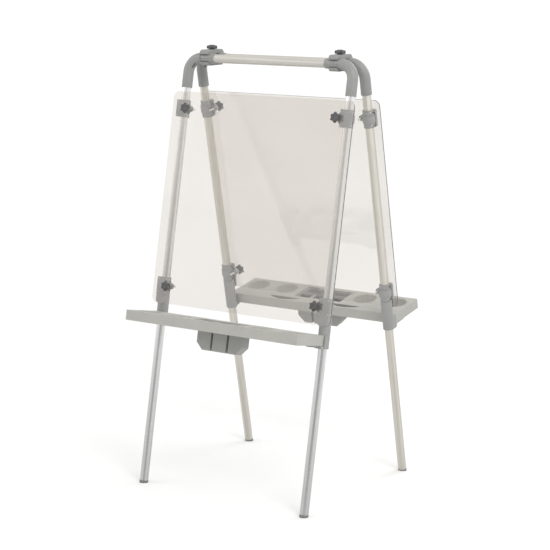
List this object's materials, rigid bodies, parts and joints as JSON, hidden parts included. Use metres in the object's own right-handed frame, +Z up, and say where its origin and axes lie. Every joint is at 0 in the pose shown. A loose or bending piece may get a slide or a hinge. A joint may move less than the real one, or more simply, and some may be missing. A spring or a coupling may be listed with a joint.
{
  "type": "kids easel",
  "caption": "Two-sided standing easel for children: hinged tube legs, clear painting panels held by star knobs, and trays with wells and a cup box on both sides.",
  "frame": {"origin": "on the floor, midway between the four feet", "axes": "+Z up; +X to the right along the crossbars, seen from the front; -Y out of the front, +Y out of the rear"},
  "size_m": [0.6, 0.6281, 1.2233],
  "materials": {
    "aluminium_tube": "satin extruded, fine lengthwise lines",
    "grey_moulding": "fine moulded texture, mid grey",
    "foot_plastic": "soft moulded grey",
    "tray_plastic": "light warm grey, fine moulded texture",
    "cup_box_plastic": "mid grey, fine moulded texture",
    "clear_panel": "clear acrylic sheet with polished edges",
    "black_plastic": "near-black, satin",
    "zinc_steel": "zinc-plated"
  },
  "bodies": {
    "clamp_blocks": {"block_upper_left": "grey_moulding", "block_upper_right": "grey_moulding", "block_lower_left": "grey_moulding", "block_lower_right": "grey_moulding", "block_nuts": "zinc_steel"},
    "front_frame": {"front_leg_left": "aluminium_tube", "front_leg_right": "aluminium_tube", "front_foot_cap_left": "foot_plastic", "front_foot_cap_right": "foot_plastic", "front_elbow_left": "grey_moulding", "front_elbow_right": "grey_moulding", "front_crossbar": "aluminium_tube", "front_panel": "clear_panel", "front_upper_clamp_left": "grey_moulding", "front_upper_clamp_right": "grey_moulding", "front_upper_shell_left": "grey_moulding", "front_upper_shell_right": "grey_moulding", "front_tray_bracket_left": "grey_moulding", "front_tray_bracket_right": "grey_moulding", "front_lower_shell_left": "grey_moulding", "front_lower_shell_right": "grey_moulding", "front_tray": "tray_plastic", "front_cup_box": "cup_box_plastic", "front_clamp_screws": "zinc_steel", "front_clamp_nuts": "zinc_steel", "front_stud_nuts": "zinc_steel", "front_tray_screws": "zinc_steel"},
    "rear_frame": {"rear_leg_left": "aluminium_tube", "rear_leg_right": "aluminium_tube", "rear_foot_cap_left": "foot_plastic", "rear_foot_cap_right": "foot_plastic", "rear_elbow_left": "grey_moulding", "rear_elbow_right": "grey_moulding", "rear_crossbar": "aluminium_tube", "rear_panel": "clear_panel", "rear_upper_clamp_left": "grey_moulding", "rear_upper_clamp_right": "grey_moulding", "rear_upper_shell_left": "grey_moulding", "rear_upper_shell_right": "grey_moulding", "rear_tray_bracket_left": "grey_moulding", "rear_tray_bracket_right": "grey_moulding", "rear_lower_shell_left": "grey_moulding", "rear_lower_shell_right": "grey_moulding", "rear_tray": "tray_plastic", "rear_cup_box": "cup_box_plastic", "rear_clamp_screws": "zinc_steel", "rear_clamp_nuts": "zinc_steel", "rear_stud_nuts": "zinc_steel", "rear_tray_screws": "zinc_steel"},
    "block_knob_left": {"block_knob_left": "black_plastic"},
    "block_knob_right": {"block_knob_right": "black_plastic"},
    "front_knob_upper_left": {"front_knob_upper_left": "black_plastic"},
    "front_knob_upper_right": {"front_knob_upper_right": "black_plastic"},
    "front_knob_lower_left": {"front_knob_lower_left": "black_plastic"},
    "front_knob_lower_right": {"front_knob_lower_right": "black_plastic"},
    "rear_knob_upper_left": {"rear_knob_upper_left": "black_plastic"},
    "rear_knob_upper_right": {"rear_knob_upper_right": "black_plastic"},
    "rear_knob_lower_left": {"rear_knob_lower_left": "black_plastic"},
    "rear_knob_lower_right": {"rear_knob_lower_right": "black_plastic"}
  },
  "joints": [
    {"name": "front_frame_fold", "type": "hinge", "parent": "clamp_blocks", "child": "front_frame", "pos_m": [0, -0.0235, 1.18696], "axis": [1, 0, 0], "range_deg": [0, 11.2]},
    {"name": "rear_frame_fold", "type": "hinge", "parent": "clamp_blocks", "child": "rear_frame", "pos_m": [0, 0.0235, 1.18696], "axis": [-1, 0, 0], "range_deg": [0, 11.2]},
    {"name": "block_knob_left_turn", "type": "hinge", "parent": "clamp_blocks", "child": "block_knob_left", "pos_m": [-0.2135, 0, 1.18696], "axis": [0, 0, 1], "continuous": true},
    {"name": "block_knob_right_turn", "type": "hinge", "parent": "clamp_blocks", "child": "block_knob_right", "pos_m": [0.2135, 0, 1.18696], "axis": [0, 0, 1], "continuous": true},
    {"name": "front_knob_upper_left_turn", "type": "hinge", "parent": "front_frame", "child": "front_knob_upper_left", "pos_m": [-0.25, -0.05166, 1.04472], "axis": [0, -0.981, 0.1942], "continuous": true},
    {"name": "front_knob_upper_right_turn", "type": "hinge", "parent": "front_frame", "child": "front_knob_upper_right", "pos_m": [0.25, -0.05166, 1.04472], "axis": [0, -0.981, 0.1942], "continuous": true},
    {"name": "front_knob_lower_left_turn", "type": "hinge", "parent": "front_frame", "child": "front_knob_lower_left", "pos_m": [-0.25, -0.14936, 0.5513], "axis": [0, -0.981, 0.1942], "continuous": true},
    {"name": "front_knob_lower_right_turn", "type": "hinge", "parent": "front_frame", "child": "front_knob_lower_right", "pos_m": [0.25, -0.14936, 0.5513], "axis": [0, -0.981, 0.1942], "continuous": true},
    {"name": "rear_knob_upper_left_turn", "type": "hinge", "parent": "rear_frame", "child": "rear_knob_upper_left", "pos_m": [-0.25, 0.05302, 1.03785], "axis": [0, 0.981, 0.1942], "continuous": true},
    {"name": "rear_knob_upper_right_turn", "type": "hinge", "parent": "rear_frame", "child": "rear_knob_upper_right", "pos_m": [0.25, 0.05302, 1.03785], "axis": [0, 0.981, 0.1942], "continuous": true},
    {"name": "rear_knob_lower_left_turn", "type": "hinge", "parent": "rear_frame", "child": "rear_knob_lower_left", "pos_m": [-0.25, 0.15072, 0.54443], "axis": [0, 0.981, 0.1942], "continuous": true},
    {"name": "rear_knob_lower_right_turn", "type": "hinge", "parent": "rear_frame", "child": "rear_knob_lower_right", "pos_m": [0.25, 0.15072, 0.54443], "axis": [0, 0.981, 0.1942], "continuous": true}
  ],
  "couplings": [
    {"joint": "rear_frame_fold", "follows": "front_frame_fold", "ratio": 1}
  ]
}
